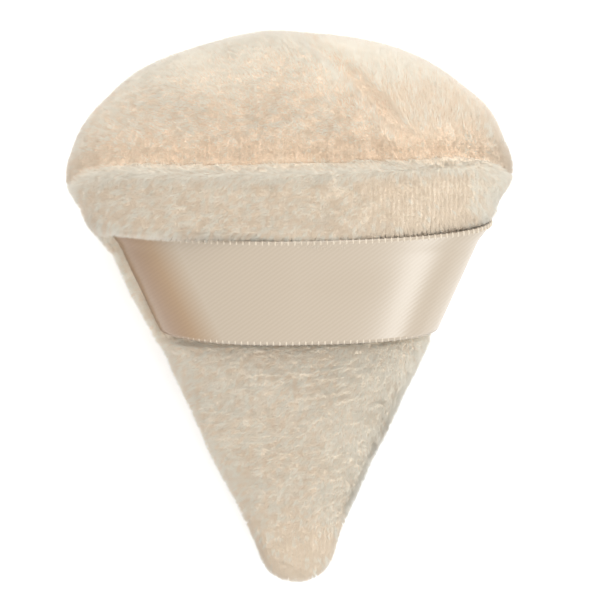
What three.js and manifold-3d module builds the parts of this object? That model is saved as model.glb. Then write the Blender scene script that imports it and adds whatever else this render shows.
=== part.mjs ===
import * as THREE from "three";
import Module from "manifold-3d";

// A plush powder puff in millimetres, lying on its back with its satin finger ribbon on top.
// The puff is shaped in a frame of its own: x across, y from the tip to the crown, and z from the side
// seams towards the ribbon face. The group at the end tilts it so that its back lies on the table.

// Body, measured over the pile
const crownWidth = 63.6;
const cornerLevel = 60.7;
const crownRise = 20.7;
const crownThickness = 21.4;
const rimThickness = 25;
const rimBow = 4.2;
const shoulderLength = 9.1;
const waistWidth = 57;
const waistHeight = 8.6;
const tipRadius = 5.6;
const tipThickness = 6.6;
const backFlat = 0.9;
const lipRadius = 1.6;

// Cloth, foam and thread
const backingThickness = 1.2;
const pileHeight = 2;
const crushedPile = 0.2;
const crushFade = 2;
const coreClearance = 0.35;
const threadDiameter = 0.5;
const seamClearance = 0.4;
const closingLength = 28;

// Ribbon
const ribbonWidth = 15;
const ribbonThickness = 0.4;
const ribbonLevel = 39;
const ribbonSlack = 4.5;
const ribbonTopSlack = 3.3;
const ribbonTab = 0.9;
const ribbonClearance = 0.3;
const ribbonFold = 0.35;

// Section shapes: 2 is an ellipse, and more is squarer
const bodyPower = 2.4;
const crownPower = 2.2;
const domePower = 2;
const domeDepthPower = 3;
const domeRisePower = 1.4;
const rimPower = 10;
const rollPower = 16;
const ribbonPower = 3;
const ribbonTopPower = 2.6;

// Facets
const sectionSides = 36;
const tipRings = 4;
const slopeRings = 7;
const rollRings = 4;
const lipRings = 2;
const hollowRings = 5;
const crownRings = 9;
const threadSides = 6;
const threadPoints = 7;
const sideSeamSteps = 60;
const crownSeamSteps = 84;
const closingStitches = 14;
const ribbonSteps = 30;
const ribbonStrips = 4;

const panelThickness = backingThickness + pileHeight;
const pileCrush = pileHeight - crushedPile;
const coreInset = panelThickness + coreClearance;
const seamGap = threadDiameter + 2 * seamClearance;
const cornerHalf = crownWidth / 2;
const rimHalf = rimThickness / 2;
const crownHalf = crownThickness / 2;
const tipHalf = tipThickness / 2;
const waistLevel = ribbonLevel + ribbonWidth;
const waistMargin = 2 * ribbonClearance;
const rollStart = waistLevel + waistMargin;
const frontSlope = (waistHeight - tipHalf) / (waistLevel - tipRadius);
const backSlope = (rimHalf - tipHalf) / (cornerLevel - tipRadius);
const sideSlope = tangentSlope(waistLevel - tipRadius, waistWidth / 2, tipRadius);

const { clamp, lerp, smoothstep } = THREE.MathUtils;

// The slope of a line that touches a circle round the origin and passes at a height over it, further along
function tangentSlope(along, height, radius) {
  const reach = Math.sqrt(along ** 2 + height ** 2 - radius ** 2);
  return (height * along - radius * reach) / (along ** 2 - radius ** 2);
}

// A round end: 0 at its start, 1 where it is full
function roundEnd(share) {
  return Math.sqrt(1 - (1 - Math.min(share, 1)) ** 2);
}

// How far y lies below the corners, as a share of a length that ends there
function shareBelow(y, length) {
  return clamp((cornerLevel - y) / length, 0, 1);
}

// Half the body's width at a distance y from the tip: a round tip, straight sides and full shoulders
function sideReach(y) {
  const touch = tipRadius * (1 - Math.sin(Math.atan(sideSlope)));
  if (y < touch) {
    return tipRadius * roundEnd(y / tipRadius);
  }
  const along = Math.min(y, cornerLevel - shoulderLength);
  const straight = waistWidth / 2 + sideSlope * (along - waistLevel);
  return lerp(cornerHalf, straight, shareBelow(y, shoulderLength) ** 2);
}

// The face's height over the side seams: a slope up to the ribbon, then the plump roll under the rim
function faceReach(y) {
  if (y < tipRadius) {
    return tipHalf * roundEnd(y / tipRadius);
  }
  const slope = tipHalf + frontSlope * (Math.min(y, waistLevel) - tipRadius);
  return Math.max(slope, rimHalf * Math.sqrt(1 - shareBelow(y, cornerLevel - rollStart) ** rollPower));
}

// The height at y of a layer set in from the face, which swells into the roll further up
function innerFaceReach(y, inset) {
  return faceReach(Math.min(y, Math.max(waistLevel, y - inset))) - inset;
}

// The back's depth under the side seams: one even slope
function backReach(y) {
  if (y < tipRadius) {
    return tipHalf * roundEnd(y / tipRadius);
  }
  return tipHalf + backSlope * (Math.min(y, cornerLevel) - tipRadius);
}

// How far the pile is pressed down at y: all the way under the ribbon, fading out past its edges
function crushAt(y) {
  const low = ribbonLevel - waistMargin;
  const fade = 1 - smoothstep(y, rollStart, rollStart + crushFade / 2);
  return pileCrush * smoothstep(y, low - crushFade, low) * fade;
}

// The rim's level: nearly straight, and rounded down to the corners
function rimLevel(x) {
  return cornerLevel + rimBow * (1 - Math.abs(x / cornerHalf) ** rimPower);
}

// A section's point lifts with the rim's bow as it nears the rim
function bowed(x, y) {
  return y + (rimLevel(x) - cornerLevel) * smoothstep(y, waistLevel, cornerLevel);
}

function powerOf(value, power) {
  return Math.sign(value) * Math.abs(value) ** (2 / power);
}

// One closed section: half width, height of its front half and depth of its back half
function section(half, front, back, power, place) {
  const ring = [];
  for (let side = 0; side < sectionSides; side++) {
    const angle = (2 * Math.PI * side) / sectionSides;
    const quarter = side % (sectionSides / 2) === 0 ? 0 : Math.sin(angle);
    const x = half * powerOf(Math.cos(angle), power);
    const z = (quarter > 0 ? front : back) * powerOf(quarter, power);
    ring.push(place(x, z));
  }
  return ring;
}

// The triangles that close a ring, as strips between its front and back points of the same x
function capTriangles(first, facesUp) {
  const triangles = [];
  const half = sectionSides / 2;
  for (let side = 0; side < half; side++) {
    const near = first + side;
    const next = near + 1;
    const far = first + ((sectionSides - side) % sectionSides);
    const farNext = first + sectionSides - side - 1;
    if (side > 0) {
      triangles.push(facesUp ? [near, far, next] : [near, next, far]);
    }
    if (side < half - 1) {
      triangles.push(facesUp ? [next, far, farNext] : [next, farNext, far]);
    }
  }
  return triangles;
}

// A closed skin over sections in order of y; the first or the last may be a single point
function loft(rings) {
  const points = rings.flat();
  const starts = [];
  rings.reduce((at, ring) => {
    starts.push(at);
    return at + ring.length;
  }, 0);
  const triangles = [];
  for (let row = 0; row + 1 < rings.length; row++) {
    const here = (side) => starts[row] + (side % rings[row].length);
    const above = (side) => starts[row + 1] + (side % rings[row + 1].length);
    for (let side = 0; side < sectionSides; side++) {
      if (rings[row].length > 1) {
        triangles.push([here(side), above(side), here(side + 1)]);
      }
      if (rings[row + 1].length > 1) {
        triangles.push([above(side), above(side + 1), here(side + 1)]);
      }
    }
  }
  if (rings[0].length > 1) {
    triangles.push(...capTriangles(0, false));
  }
  if (rings.at(-1).length > 1) {
    triangles.push(...capTriangles(starts.at(-1), true));
  }
  return geometryOf(points, triangles);
}

function geometryOf(points, triangles) {
  const geometry = new THREE.BufferGeometry().setFromPoints(points);
  geometry.setIndex(triangles.flat());
  return geometry;
}

const wasm = await Module();
wasm.setup();

function solidOf(geometry) {
  return new wasm.Manifold(
    new wasm.Mesh({
      numProp: 3,
      vertProperties: new Float32Array(geometry.getAttribute("position").array),
      triVerts: new Uint32Array(geometry.index.array),
    }),
  );
}

function geometryFrom(solid) {
  const { vertProperties, triVerts } = solid.getMesh();
  const geometry = new THREE.BufferGeometry();
  geometry.setAttribute("position", new THREE.BufferAttribute(vertProperties, 3));
  geometry.setIndex(new THREE.BufferAttribute(triVerts, 1));
  return geometry;
}

function spaced(from, to, count) {
  return Array.from({ length: count }, (_, index) => lerp(from, to, index / (count - 1)));
}

// Angles between 0 and a quarter turn, both left out
function quarterTurns(count) {
  return spaced(0, Math.PI / 2, count + 2).slice(1, -1);
}

// Levels on the roll under the rim, closest together where it starts to swell
function rollLevels(count, end) {
  return quarterTurns(count).map((turn) => lerp(rollStart, end, 1 - Math.cos(turn)));
}

// Levels of the ribbon's sections, which the cloth under it shares
const ribbonLevels = spaced(ribbonLevel, waistLevel, ribbonStrips + 1);

// Levels of the sections from the tip to the start of the lip
function bodyLevels() {
  const low = ribbonLevel - waistMargin;
  return [
    ...quarterTurns(tipRings).map((turn) => tipRadius * (1 - Math.cos(turn))),
    ...spaced(tipRadius, low - crushFade, slopeRings),
    low - crushFade / 2,
    low,
    ...ribbonLevels,
    rollStart,
    ...rollLevels(rollRings, cornerLevel - lipRadius),
  ];
}

// The rounded lip at the rim: level and how far it has turned inwards
const lipTurns = spaced(0, Math.PI / 2, lipRings + 2).map((turn) => ({
  level: cornerLevel - lipRadius * (1 - Math.sin(turn)),
  inset: lipRadius * (1 - Math.cos(turn)),
}));

// A fan's outer skin from the tip to the rim, with its pile pressed down by a given amount at each level
function fanSolid(pressed) {
  const rings = [[new THREE.Vector3(0, 0, 0)]];
  const flat = bodyLevels().map((level) => ({ level, inset: 0 }));
  for (const { level, inset } of [...flat, ...lipTurns]) {
    const place = (x, z) => new THREE.Vector3(x, bowed(x, level), z);
    const side = sideReach(level) - pressed(level);
    const face = faceReach(level) - pressed(level) - inset;
    rings.push(section(side, face, backReach(level) - inset, bodyPower, place));
  }
  return solidOf(loft(rings));
}

// Where the fans' hollow or the foam starts: past the tip, where the body is thick enough to hold it
function hollowStart(inset, least) {
  return tipRadius + Math.max(inset, (inset + least - tipHalf) / frontSlope);
}

// The inside of the fans, set in from their skins, up to the rim
function fanRings(inset, least) {
  const levels = [
    ...spaced(hollowStart(inset, least), ribbonLevel, hollowRings).slice(0, -1),
    ...ribbonLevels,
    rollStart,
    ...rollLevels(lipRings, cornerLevel),
    cornerLevel,
  ];
  return levels.map((y) => {
    const place = (x, z) => new THREE.Vector3(x, bowed(x, y), z);
    const [side, back] = [sideReach, backReach].map((reach) => reach(y) - inset);
    return section(side, innerFaceReach(y, inset), back, bodyPower, place);
  });
}

// The same rings with one more section above, so that the hollow opens through the rim
function fanHollow(inset, least) {
  const rings = fanRings(inset, least);
  const above = rings.at(-1).map((point) => point.clone().setY(point.y + inset));
  return [...rings, above];
}

// The dome's sections from its seam to its top, set in from its skin
function domeRings(inset) {
  const rise = crownRise - rimBow - seamGap - inset;
  const rings = [];
  for (let ring = 0; ring < crownRings; ring++) {
    const turn = ((ring / crownRings) * Math.PI) / 2;
    const half = (cornerHalf - inset) * powerOf(Math.cos(turn), domePower);
    const depth = (crownHalf - inset) * powerOf(Math.cos(turn), domeDepthPower);
    const lift = seamGap + rise * powerOf(Math.sin(turn), domeRisePower);
    const place = (x, z) => new THREE.Vector3(x, rimLevel(x) + lift, z);
    rings.push(section(half, depth, depth, crownPower, place));
  }
  rings.push([new THREE.Vector3(0, rimLevel(0) + seamGap + rise, 0)]);
  return rings;
}

// The same rings with one more section below, so that the hollow opens through the dome's seam edge
function domeHollow(inset) {
  const rings = domeRings(inset);
  const below = rings[0].map((point) => point.clone().setY(point.y - 2 * seamGap));
  return [below, ...rings];
}

// A block far larger than the puff
const blockSize = 4 * (crownWidth + cornerLevel + crownRise);
const largeBlock = weld(new THREE.BoxGeometry(blockSize, blockSize, blockSize).toNonIndexed());

// The block that covers the puff on one side of the side seams
function seamBlock(side) {
  return solidOf(largeBlock.clone().translate(0, 0, side * (blockSize / 2 - seamGap / 2)));
}

function weld(geometry) {
  const points = [];
  const index = [];
  const known = new Map();
  const position = geometry.getAttribute("position");
  for (let at = 0; at < position.count; at++) {
    const point = new THREE.Vector3().fromBufferAttribute(position, at);
    const key = point.toArray().join(" ");
    if (!known.has(key)) {
      known.set(key, points.length);
      points.push(point);
    }
    index.push(known.get(key));
  }
  return geometryOf(points, [index]);
}

// The block under the table's plane, which cuts the back flat where it rests
function tableBlock() {
  const block = largeBlock.clone().translate(0, 0, -blockSize / 2);
  block.rotateX(-Math.atan(backSlope));
  return solidOf(block.translate(0, tipRadius, backFlat - tipHalf));
}

const hollow = solidOf(loft(fanHollow(panelThickness, crushedPile)));
const frontPanel = fanSolid(crushAt).subtract(hollow).subtract(seamBlock(-1));
const backPanel = fanSolid(() => 0).subtract(hollow).subtract(seamBlock(1)).subtract(tableBlock());
const crownPanel = solidOf(loft(domeRings(0))).subtract(solidOf(loft(domeHollow(panelThickness))));
const foamCore = loft([...fanRings(coreInset, backingThickness / 2), ...domeRings(coreInset)]);

// The ribbon's line at a level y, from one seam over the face to the other, with its inner normals
function ribbonLine(y) {
  const half = sideReach(y) - pileCrush + ribbonClearance + ribbonThickness / 2;
  const share = (y - ribbonLevel) / ribbonWidth;
  const height = faceReach(Math.min(y, waistLevel)) + lerp(ribbonSlack, ribbonTopSlack, share);
  const power = lerp(ribbonPower, ribbonTopPower, share);
  const line = [new THREE.Vector2(half - ribbonTab, 0)];
  for (const turn of [0, 0.5, 1]) {
    const angle = (turn * Math.PI) / 2;
    const across = half - ribbonFold * (1 - Math.sin(angle));
    line.push(new THREE.Vector2(across, ribbonFold * (1 - Math.cos(angle))));
  }
  const first = Math.asin((ribbonFold / height) ** (power / 2));
  for (let step = 1; step < ribbonSteps; step++) {
    const angle = lerp(first, Math.PI - first, step / ribbonSteps);
    const across = half * powerOf(Math.cos(angle), power);
    line.push(new THREE.Vector2(across, height * powerOf(Math.sin(angle), power)));
  }
  const mirrored = line.slice(0, 4).reverse();
  line.push(...mirrored.map((point) => new THREE.Vector2(-point.x, point.y)));
  return line;
}

// The ribbon: its line at several levels, thickened to both sides
function ribbonGeometry() {
  const rows = ribbonLevels.map((y) => ({ y, line: ribbonLine(y) }));
  const length = rows[0].line.length;
  const points = [];
  for (const { y, line } of rows) {
    line.forEach((point, at) => {
      const before = line[Math.max(at - 1, 0)];
      const after = line[Math.min(at + 1, length - 1)];
      const along = after.clone().sub(before).normalize();
      const out = new THREE.Vector2(along.y, -along.x).multiplyScalar(ribbonThickness / 2);
      points.push(new THREE.Vector3(point.x + out.x, y, point.y + out.y));
      points.push(new THREE.Vector3(point.x - out.x, y, point.y - out.y));
    });
  }
  const outer = (row, at) => 2 * (row * length + at);
  const inner = (row, at) => outer(row, at) + 1;
  const triangles = [];
  const quad = (a, b, c, d) => triangles.push([a, b, c], [a, c, d]);
  for (let row = 0; row < ribbonStrips; row++) {
    for (let at = 0; at + 1 < length; at++) {
      quad(outer(row, at), outer(row + 1, at), outer(row + 1, at + 1), outer(row, at + 1));
      quad(inner(row, at), inner(row, at + 1), inner(row + 1, at + 1), inner(row + 1, at));
    }
    const last = length - 1;
    quad(outer(row, 0), inner(row, 0), inner(row + 1, 0), outer(row + 1, 0));
    quad(outer(row, last), outer(row + 1, last), inner(row + 1, last), inner(row, last));
  }
  for (let at = 0; at + 1 < length; at++) {
    quad(outer(0, at), outer(0, at + 1), inner(0, at + 1), inner(0, at));
    const top = ribbonStrips;
    quad(outer(top, at), inner(top, at), inner(top, at + 1), outer(top, at + 1));
  }
  return geometryOf(points, triangles);
}

// A thread along points: a thin tube with closed ends
function threadAlong(points, steps) {
  const round = new THREE.Shape();
  for (let side = 0; side < threadSides; side++) {
    const angle = (2 * Math.PI * side) / threadSides;
    const [x, y] = [Math.cos(angle), Math.sin(angle)].map((part) => (part * threadDiameter) / 2);
    if (side === 0) {
      round.moveTo(x, y);
    } else {
      round.lineTo(x, y);
    }
  }
  const extrudePath = new THREE.CatmullRomCurve3(points);
  return new THREE.ExtrudeGeometry(round, { steps, extrudePath, bevelEnabled: false });
}

// The side seam runs just inside the ribbon's ends, down one side, round the tip and up the other
function sideSeam() {
  const inset = pileCrush - ribbonThickness / 2 + ribbonTab + threadDiameter / 2;
  const top = cornerLevel - threadDiameter;
  const above = spaced(top, waistLevel, threadPoints).slice(0, -1);
  const below = spaced(ribbonLevel, tipRadius, threadPoints).slice(1);
  const levels = [...above, ...ribbonLevels.toReversed(), ...below];
  const right = levels.map((y) => new THREE.Vector3(sideReach(y) - inset, y, 0));
  const left = right.map((point) => new THREE.Vector3(-point.x, point.y, 0)).reverse();
  const tip = new THREE.Vector3(0, inset, 0);
  return threadAlong([...right, tip, ...left], sideSeamSteps);
}

// The crown's seam line, between the fans' rims and the dome's edge, at a place x on the face or the back
function crownSeamPoint(x, side) {
  const half = cornerHalf - panelThickness / 2;
  const depth = (rimHalf - panelThickness + crownHalf) / 2;
  const z = side * depth * (1 - Math.abs(x / half) ** bodyPower) ** (1 / bodyPower);
  return new THREE.Vector3(x, rimLevel(x) + seamGap / 2, z);
}

// The machine seam goes right round the crown, apart from the closing at the middle of the back
function crownSeam() {
  const half = cornerHalf - panelThickness / 2;
  const end = closingLength / 2 + threadDiameter;
  const turns = spaced(0, Math.PI / 2, threadPoints);
  const corner = turns.map((turn) => lerp(half, end, 1 - Math.cos(turn)));
  const backRight = corner.map((x) => crownSeamPoint(x, -1)).reverse();
  const across = spaced(0, Math.PI, 2 * threadPoints + 1).slice(1, -1);
  const face = across.map((turn) => crownSeamPoint(half * Math.cos(turn), 1));
  const backLeft = corner.map((x) => crownSeamPoint(-x, -1));
  return threadAlong([...backRight, ...face, ...backLeft], crownSeamSteps);
}

// The hand stitch steps from one edge of the closing to the other
function closingStitch() {
  const places = spaced(-closingLength / 2, closingLength / 2, closingStitches + 1);
  const points = places.map((x, index) => {
    const point = crownSeamPoint(x, -1);
    point.y += ((index % 2 ? 1 : -1) * seamClearance) / 2;
    return point;
  });
  return threadAlong(points, 2 * closingStitches);
}

const plush = new THREE.MeshStandardMaterial({ color: 0xe0cfb8, roughness: 0.95, metalness: 0 });
const satin = new THREE.MeshStandardMaterial({ color: 0xd9c9b2, roughness: 0.35, metalness: 0 });
const foam = new THREE.MeshStandardMaterial({ color: 0xf2ecdf, roughness: 1, metalness: 0 });
const thread = new THREE.MeshStandardMaterial({ color: 0xdcc8ad, roughness: 0.7, metalness: 0 });

const pieces = [
  ["front_panel", geometryFrom(frontPanel), plush],
  ["back_panel", geometryFrom(backPanel), plush],
  ["crown_panel", geometryFrom(crownPanel), plush],
  ["foam_core", foamCore, foam],
  ["ribbon_strap", ribbonGeometry(), satin],
  ["side_seam_thread", sideSeam(), thread],
  ["crown_seam_thread", crownSeam(), thread],
  ["closing_stitch", closingStitch(), thread],
];

// The puff lies on its back, with the origin under the middle of its box
const puff = new THREE.Group();
puff.rotation.x = Math.atan(backSlope);
for (const [name, geometry, material] of pieces) {
  const mesh = new THREE.Mesh(geometry, material);
  mesh.name = name;
  puff.add(mesh);
}
const box = new THREE.Box3().setFromObject(puff, true);
puff.position.y = -(box.min.y + box.max.y) / 2;
puff.position.z = -box.min.z;

const group = new THREE.Group();
group.add(puff);

export default group;
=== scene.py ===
# A plush powder puff that lies on its back on a pale floor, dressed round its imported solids.
import math

import bpy
import numpy as np
from mathutils import Matrix, Vector


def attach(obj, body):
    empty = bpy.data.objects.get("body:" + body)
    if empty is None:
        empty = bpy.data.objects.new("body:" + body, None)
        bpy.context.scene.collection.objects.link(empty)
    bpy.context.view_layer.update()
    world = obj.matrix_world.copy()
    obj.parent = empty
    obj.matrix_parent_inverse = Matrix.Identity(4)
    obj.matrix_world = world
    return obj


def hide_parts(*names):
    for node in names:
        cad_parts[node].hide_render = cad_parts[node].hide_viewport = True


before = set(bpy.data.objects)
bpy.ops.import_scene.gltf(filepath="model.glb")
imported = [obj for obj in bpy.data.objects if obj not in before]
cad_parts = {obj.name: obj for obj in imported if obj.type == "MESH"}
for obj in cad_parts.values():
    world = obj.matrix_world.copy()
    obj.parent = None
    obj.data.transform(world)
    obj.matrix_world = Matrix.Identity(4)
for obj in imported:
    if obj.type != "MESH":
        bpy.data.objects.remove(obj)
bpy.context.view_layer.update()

# Sizes are in millimetres, as in the part's source, and meshes are made in metres.
# The puff is shaped in a frame of its own: x across, y from the tip to the crown, and z from the side seams
# towards the ribbon face.
MM = 0.001

# Body, measured over the pile
CROWN_WIDTH = 63.6
CORNER_LEVEL = 60.7
CROWN_RISE = 20.7
CROWN_THICKNESS = 21.4
RIM_THICKNESS = 25
RIM_BOW = 4.2
SHOULDER_LENGTH = 9.1
WAIST_WIDTH = 57
WAIST_HEIGHT = 8.6
TIP_RADIUS = 5.6
TIP_THICKNESS = 6.6
BACK_FLAT = 0.9
LIP_RADIUS = 1.6
PILE_CRUSH = 1.8
CRUSH_FADE = 2
CRUSH_MARGIN = 0.2
LEAST_HALF = 0.1
CORNER_INSET = 0.5
PANEL_THICKNESS = 3.2
CORE_INSET = 3.6
SEAM_GAP = 1.3

# Ribbon
RIBBON_WIDTH = 15
RIBBON_THICKNESS = 0.3
RIBBON_LEVEL = 39
RIBBON_SLACK = 4.5
RIBBON_TOP_SLACK = 3.3
RIBBON_TAB = 0.9
RIBBON_CLEARANCE = 0.1
RIBBON_FOLD = 0.35
LEFT_END_ROUNDING = 0.95

# Section shapes: 2 is an ellipse, and more is squarer
BODY_POWER = 2.4
CROWN_POWER = 2.2
DOME_POWER = 2
DOME_DEPTH_POWER = 3
DOME_RISE_POWER = 1.4
RIM_POWER = 10
RIBBON_POWER = 3
RIBBON_TOP_POWER = 2.6

# Halves, levels and slopes that follow from these sizes, with the roll over the ribbon and the lip at the rim
CORNER_HALF = CROWN_WIDTH / 2 - CORNER_INSET
CROWN_SEAM_HALF = CORNER_HALF - PANEL_THICKNESS / 2
RIM_HALF = RIM_THICKNESS / 2
CROWN_HALF = CROWN_THICKNESS / 2
TIP_HALF = TIP_THICKNESS / 2
WAIST_LEVEL = RIBBON_LEVEL + RIBBON_WIDTH
ROLL_LEVEL = 56
ROLL_RADIUS = 2.7
ROLL_START = ROLL_LEVEL - ROLL_RADIUS
LIP_TURN = 0.6 * math.pi
ROW_GAP = 0.02
CROWN_TUCKS = (2.5, 1.2)
NEAR_RIBBON = RIBBON_LEVEL - 3
FRONT_SLOPE = (WAIST_HEIGHT - TIP_HALF) / (WAIST_LEVEL - TIP_RADIUS)
BACK_SLOPE = (RIM_HALF - TIP_HALF) / (CORNER_LEVEL - TIP_RADIUS)
TILT = math.atan(BACK_SLOPE)

# Where the form changes along the puff, each as the start and end of a ramp of levels
RIBBON_ENTRY = (NEAR_RIBBON, RIBBON_LEVEL)
RIBBON_EXIT = (WAIST_LEVEL, WAIST_LEVEL + 2)
LEFT_ENTRY = (RIBBON_LEVEL - 14, RIBBON_LEVEL - 5)
LEFT_EXIT = (WAIST_LEVEL - 0.5, WAIST_LEVEL + 7)
RIGHT_EXIT = (WAIST_LEVEL - 1, WAIST_LEVEL + 7)
ROLL_ENTRY = (WAIST_LEVEL - 4.5, ROLL_START)
ROLL_EXIT = (WAIST_LEVEL + 0.5, WAIST_LEVEL + 5)
ROLL_FOOT = (WAIST_LEVEL - 4, WAIST_LEVEL - 3)
ROLL_TOP = (ROLL_LEVEL, ROLL_LEVEL + 1)
FACE_END = (NEAR_RIBBON, RIBBON_LEVEL + 3)
CORNER_ENTRY = (WAIST_LEVEL - 1, WAIST_LEVEL + 8)
CORNER_EXIT = (WAIST_LEVEL + 15, WAIST_LEVEL + 21)
TIP_END = (1, 9)

# The sides are drawn in along the ribbon's ends, and the roll over the ribbon sags to the right
LEFT_DRAWN = 0.8
RIGHT_DRAWN = 1
LEFT_LIFT = 0.35
RIGHT_SAG = 1.2
END_SAG = 0.05
END_DEPTH = 10.5
SAG_SPAN = (-0.35, 0.3)

# Pile: its shown height over the skin, the knit's pitch across and along, and one fibre
PILE_SHOWN = 0.75
PILE_PRESSED = 0.2
PILE_ROOT = 0.2
PILE_SPREAD = 0.3
WALE_PITCH = 0.64
COURSE_PITCH = 0.5
FIBRE_RADIUS = 0.05
FACE_DENSITY = 44
BACK_DENSITY = 30
CLUMP_PITCH = 1.3
CLUMP_SHARE = 0.4
SKIN_THICKNESS = 0.3
TABLE_GAP = 0.06

# How a tuft differs from its neighbours, and a fibre from its tuft
TUFTS = 65536
TUFT_TURN = 0.15
TUFT_STAND = 0.05
FIBRE_TURN = 0.25
FIBRE_STAND = 0.08
FIBRE_LEAN = 0.1
LEAST_LEAN = 0.05
MOST_LEAN = 1.3
BEIGE_SHARE = 0.45
OWN_SHADING = 0.45

# The nap: directions are angles from the puff's right, and leans are angles from straight out of the cloth
FRONT_NAP = math.pi + 0.3
CROWN_NAP = math.pi - 0.35
NAP_DOWN = 1.5 * math.pi
NAP_LEAN = 0.65
CLUMP_LEAN = 0.1
BRUSHED_NAP = 1.9
BRUSHED_LEAN = 1.0

# Where the nap and the pile's painted light and shade change: levels, heights over the rim or table, and
# distances from the middle or the mark
NAP_TIP_END = (6, 14)
NAP_TURN_START = (9, 20)
NAP_TURN_LEVEL = RIBBON_LEVEL + 1
NAP_TURN_SLANT = 0.25
HANGING_START = (-8, 6)
HANGING_TOP = (ROLL_LEVEL - 0.5, ROLL_LEVEL + 1.5)
ROLL_ENDS = (WAIST_LEVEL - 2.5, WAIST_LEVEL - 1)
STRIP_START = (WAIST_LEVEL - 2, WAIST_LEVEL + 1)
CREST_START = (-2.4, -1)
CREST_END = (19, 24)
CREST_LEVEL = -0.9
CREST_HALF = 1.3
LIT_CORNER = (23, 29)
GATHER_START = (1.5, 6)
SHADED_VALLEY_END = (1.5, 5)
LIT_TOP = (8, 13)
BRUSHED_START = (-2, 2)
SHADED_MARK_HALF = 1.8
FLATTENED_END = (0.3, 1.5)

# The plush edge that stands up past the ribbon's left end
EDGE_HALF = 1.3
EDGE_HEIGHT = 1.7
EDGE_LEVEL = 0.9
EDGE_REACH = 2.2
EDGE_FADE = 0.4
EDGE_OVERLAP = 0.1
EDGE_PILE_LOSS = 0.35

# How the stuffed cloth lies: its seams, the ridge and groove below the crown seam and the valley over it
SEAM_DEPTH = 0.45
SEAM_HALF = 0.9
RIDGE_HEIGHT = 0.4
RIDGE_LEVEL = -1.1
RIDGE_HALF = 1.1
GROOVE_DEPTH = 0.15
GROOVE_LEVEL = -3.4
GROOVE_HALF = 0.9
VALLEY_FILL = 0.6
CORNER_FULLNESS = 0.8
TIP_FULLNESS = 0.9
SWELL_HEIGHT = 0.18
SWELL_PITCH = 14

# Where the stuffed cloth changes: heights over the rim, and distances from the middle or the side seams
FAN_END = (-3, -1.5)
DOME_START = (1, 4)
CROWN_START = 0.2
STANDING_START = (3, 9)
VALLEY_START = (-0.8, 0.8)
VALLEY_END = (1.5, 8)
VALLEY_FACE = (3, 9)
RIDGE_END = (24, 29)
CORNER_START = (22, 30)
PRESSED_FACE = (-0.6, 0.2)
PRESSED_FADE = 0.4

# The line that a finger has left in the dome's pile, in the row's frame, and the pile to both sides of it
MARK_FOOT_X = 16.6
MARK_FOOT_Y = 21.9
MARK_RUN_X = 8.4
MARK_RUN_Y = 12.3
MARK_BEND = 1.4
MARK_REACH = 1.4
MARK_SHIFT = 0.3
MARK_DEPTH = 0.9
MARK_HALF = 1.5
BRUSHED_DEPTH = 0.3
BRUSHED_SPAN = (-2, 5)
STANDING_HEIGHT = 0.7
STANDING_SPAN = (0, 8)

# The woven loops along the ribbon's edges: their places, and half their sizes
LOOP_PITCH = 0.9
LOOP_MARGIN = 2.5
LOOP_INSET = 0.28
LOOP_LENGTH = 0.42
LOOP_WIDTH = 0.17
LOOP_HEIGHT = 0.22

# Filling and seams
CORE_START = 12
THREAD_RADIUS = 0.25
STITCH_SHARE = 0.9
SEAM_PITCH = 2.4
CLOSING_PITCH = 2.0
CLOSING_HALF = 14
CLOSING_GAP = 0.5
SIDE_SEAM_INSET = 2.75
SIDE_SEAM_END = 0.5
CROWN_SEAM_DROP = 1.2
CROWN_SEAM_DEPTH = 2

# The stuffed body is joined on a grid of this size, and evened out in a number of rounds
GRID = 0.4
EVEN_ROUNDS = 6


# Small helpers


def ramp(value, low, high):
    """0 below low, 1 above high, and smooth between."""
    share = np.clip((value - low) / (high - low), 0, 1)
    return share * share * (3 - 2 * share)


def between(value, start, end):
    """1 between two ramps, and 0 outside both."""
    return ramp(value, *start) * (1 - ramp(value, *end))


def hump(value, centre, width):
    return np.exp(-(((value - centre) / width) ** 2))


def power_of(value, power):
    return np.sign(value) * np.abs(value) ** (2 / power)


def unit(vectors):
    return vectors / np.maximum(np.linalg.norm(vectors, axis=-1, keepdims=True), 1e-12)


def waves(points, pitch, seed):
    """A smooth uneven field over points, mostly between -1 and 1, with swells about a pitch long."""
    rng = np.random.default_rng(seed)
    total = np.zeros(points.shape[:-1])
    count = 9
    for _ in range(count):
        direction = unit(rng.normal(size=3)) * 2 * math.pi / (pitch * rng.uniform(0.7, 1.6))
        total += np.sin(points @ direction + rng.uniform(0, 2 * math.pi))
    return total / math.sqrt(count)


def round_angles(count):
    """Even angles all round a ring."""
    return np.linspace(0, 2 * math.pi, count + 1)[:-1]


def distances(line):
    """How far each point of a line lies along it."""
    steps = np.linalg.norm(np.diff(line, axis=0), axis=1)
    return np.concatenate([[0], np.cumsum(steps)])


# The puff's form, in its own frame


def tangent_slope(along, height, radius):
    """The slope of the line through a point that touches a circle round the origin from above."""
    reach = math.sqrt(along**2 + height**2 - radius**2)
    return (height * along - radius * reach) / (along**2 - radius**2)


SIDE_SLOPE = tangent_slope(WAIST_LEVEL - TIP_RADIUS, WAIST_WIDTH / 2, TIP_RADIUS)


def round_end(y):
    return np.sqrt(1 - (1 - np.clip(y / TIP_RADIUS, 0, 1)) ** 2)


def share_below(y, length):
    return np.clip((CORNER_LEVEL - y) / length, 0, 1)


def side_reach(y):
    touch = TIP_RADIUS * (1 - math.sin(math.atan(SIDE_SLOPE)))
    straight = WAIST_WIDTH / 2 + SIDE_SLOPE * (np.minimum(y, CORNER_LEVEL - SHOULDER_LENGTH) - WAIST_LEVEL)
    full = CORNER_HALF + (straight - CORNER_HALF) * share_below(y, SHOULDER_LENGTH) ** 2
    return np.where(y < touch, TIP_RADIUS * round_end(y), full)


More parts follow.
